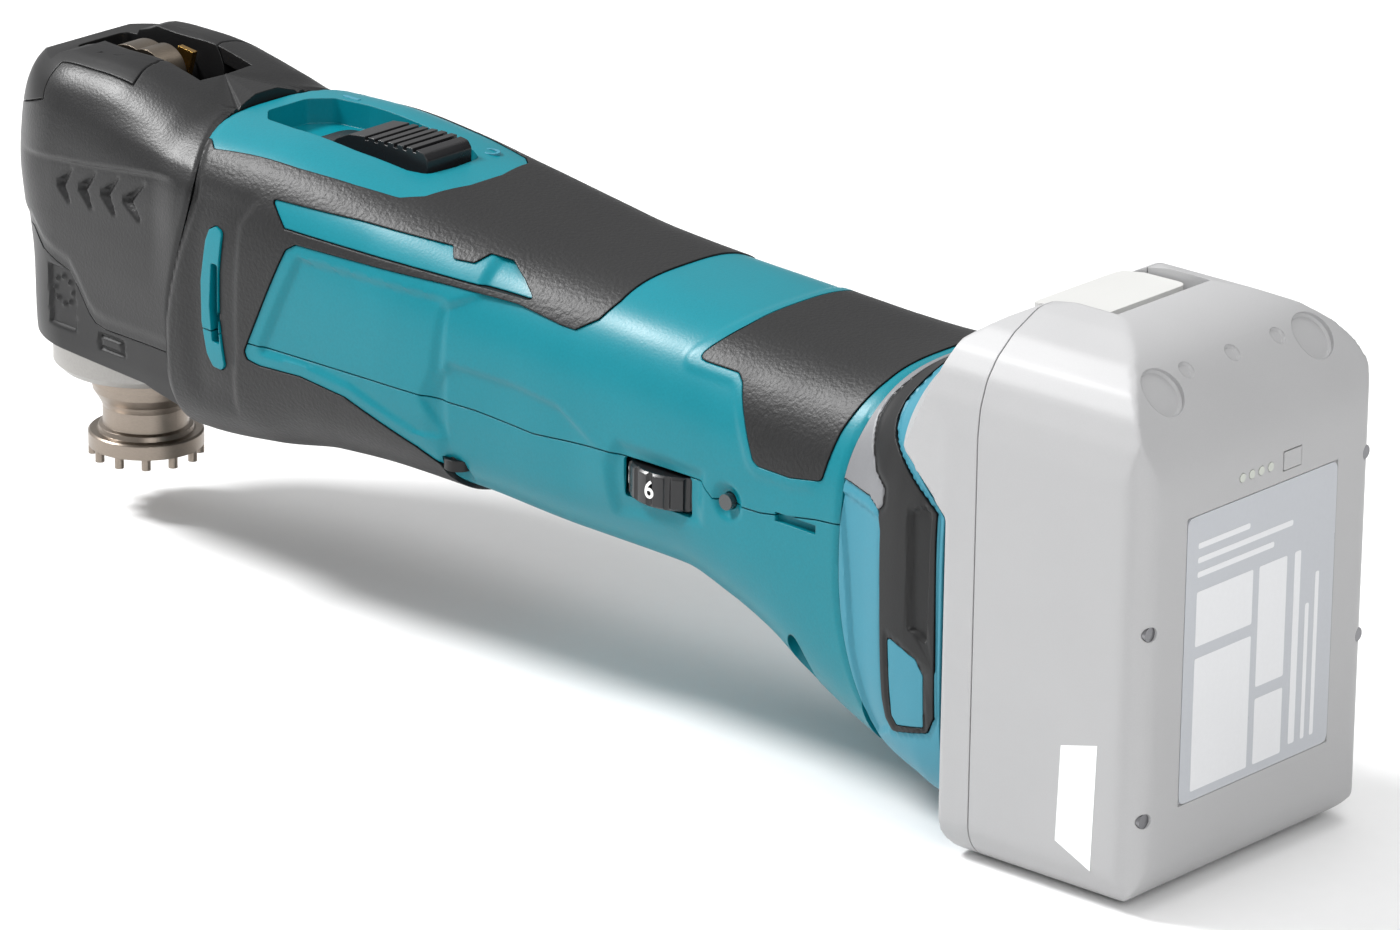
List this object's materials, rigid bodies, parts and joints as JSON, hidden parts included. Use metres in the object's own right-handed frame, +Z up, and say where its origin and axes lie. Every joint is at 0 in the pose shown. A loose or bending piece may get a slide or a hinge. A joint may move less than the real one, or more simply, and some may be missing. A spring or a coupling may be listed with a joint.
{
  "type": "cordless oscillating multi-tool",
  "caption": "Slim handheld power tool with a toothed swinging spindle under its head, a flip-up clamp lever, a slide switch, a speed dial and a slide-on battery pack.",
  "frame": {"origin": "centre of the accessory flange's lower face, on the spindle axis", "axes": "+Z up along the spindle into the head, +X from the head towards the battery, +Y to the side without the speed dial"},
  "size_m": [0.3395, 0.075, 0.1146],
  "materials": {
    "teal_shell": "fine mould texture",
    "teal_light": "fine mould texture",
    "black_shell": "fine mould texture",
    "grip_rubber": "grained",
    "gloss_black": "smooth",
    "battery_shell": "fine mould texture",
    "battery_label_grey": "satin print",
    "white_plastic": "satin",
    "clear_lens": "smooth",
    "spindle_steel": "ground",
    "steel": "ground",
    "bearing_steel": "polished",
    "cast_aluminium": "cast and turned",
    "motor_steel": "zinc plated",
    "magnet": "coated ferrite",
    "copper": "enamelled wire",
    "contact_brass": "stamped",
    "carbon": "sintered",
    "board_green": "solder mask",
    "cell_sleeve": "shrink sleeve",
    "nickel": "strip",
    "wire_red": "insulation"
  },
  "bodies": {
    "housing": {"housing_upper": "teal_shell", "housing_lower": "teal_shell", "front_grip": "grip_rubber", "rear_grip": "grip_rubber", "head_cover": "black_shell", "nose_guard": "black_shell", "gear_housing": "cast_aluminium", "lower_bearing": "bearing_steel", "upper_bearing": "bearing_steel", "spindle_seal": "grip_rubber", "lever_bracket": "black_shell", "clamp_spring": "steel", "motor_can": "motor_steel", "motor_magnets": "magnet", "motor_end_bell": "black_shell", "motor_bearings": "bearing_steel", "carbon_brushes": "carbon", "brush_holders": "contact_brass", "switch_unit": "black_shell", "speed_controller": "black_shell", "dial_sensor": "board_green", "indicator_lamp": "clear_lens", "power_leads": "wire_red", "housing_screws": "steel", "head_screws": "steel", "rear_module": "teal_light", "rear_bumper": "black_shell", "bumper_badge": "teal_light", "terminal_block": "black_shell", "terminal_blades": "contact_brass"},
    "spindle": {"spindle": "spindle_steel", "swing_fork": "steel"},
    "clamp": {"clamp_rod": "steel", "holder_clamp": "steel"},
    "lever": {"lever": "black_shell", "lever_hub": "black_shell", "lever_pin": "steel", "lever_cam": "spindle_steel", "cam_plate": "contact_brass"},
    "rotor": {"rotor_shaft": "steel", "armature_core": "motor_steel", "armature_windings": "copper", "commutator": "copper", "cooling_fan": "black_shell", "eccentric_shaft": "steel", "eccentric_bearing": "bearing_steel"},
    "slide_switch": {"switch_slider": "gloss_black", "switch_link": "white_plastic"},
    "speed_dial": {"speed_dial": "black_shell"},
    "battery": {"battery_top_case": "battery_shell", "battery_tray": "battery_shell", "battery_label": "battery_label_grey", "battery_screws": "steel", "battery_cells": "cell_sleeve", "cell_straps": "nickel", "battery_board": "board_green", "latch_spring": "steel", "gauge_lamps": "clear_lens"},
    "release_button": {"release_button": "white_plastic"},
    "gauge_button": {"gauge_button": "battery_shell"}
  },
  "joints": [
    {"name": "spindle_swing", "type": "hinge", "parent": "housing", "child": "spindle", "pos_m": [0, 0, 0.03], "axis": [0, 0, 1], "range_deg": [-1.6, 1.6]},
    {"name": "clamp_slide", "type": "slide", "parent": "housing", "child": "clamp", "axis": [0, 0, -1], "range_m": [0, 0.00207], "deforming": ["clamp_spring"]},
    {"name": "clamp_lever", "type": "hinge", "parent": "housing", "child": "lever", "pos_m": [0.006, 0, 0.0865], "axis": [0, 1, 0], "range_deg": [0, 95]},
    {"name": "motor_spin", "type": "hinge", "parent": "housing", "child": "rotor", "pos_m": [0.06, 0, 0.052], "axis": [1, 0, 0], "continuous": true},
    {"name": "switch_travel", "type": "slide", "parent": "housing", "child": "slide_switch", "axis": [-1, 0, 0], "range_m": [0, 0.007]},
    {"name": "dial_turn", "type": "hinge", "parent": "housing", "child": "speed_dial", "pos_m": [0.18, -0.0208, 0.0417], "axis": [0, 0, 1], "range_deg": [0, 250]},
    {"name": "battery_slide", "type": "slide", "parent": "housing", "child": "battery", "axis": [0, 0, 1], "range_m": [0, 0.065]},
    {"name": "latch_press", "type": "slide", "parent": "battery", "child": "release_button", "axis": [1, 0, 0], "range_m": [0, 0.0045], "stiffness_N_per_m": 900, "springref_m": -0.002, "deforming": ["latch_spring"]},
    {"name": "gauge_press", "type": "slide", "parent": "battery", "child": "gauge_button", "axis": [-1, 0, 0], "range_m": [0, 0.0006], "stiffness_N_per_m": 1500, "springref_m": -0.0003}
  ],
  "couplings": [
    {"joint": "clamp_lever", "follows": "clamp_slide", "rad_per_m": 800}
  ]
}
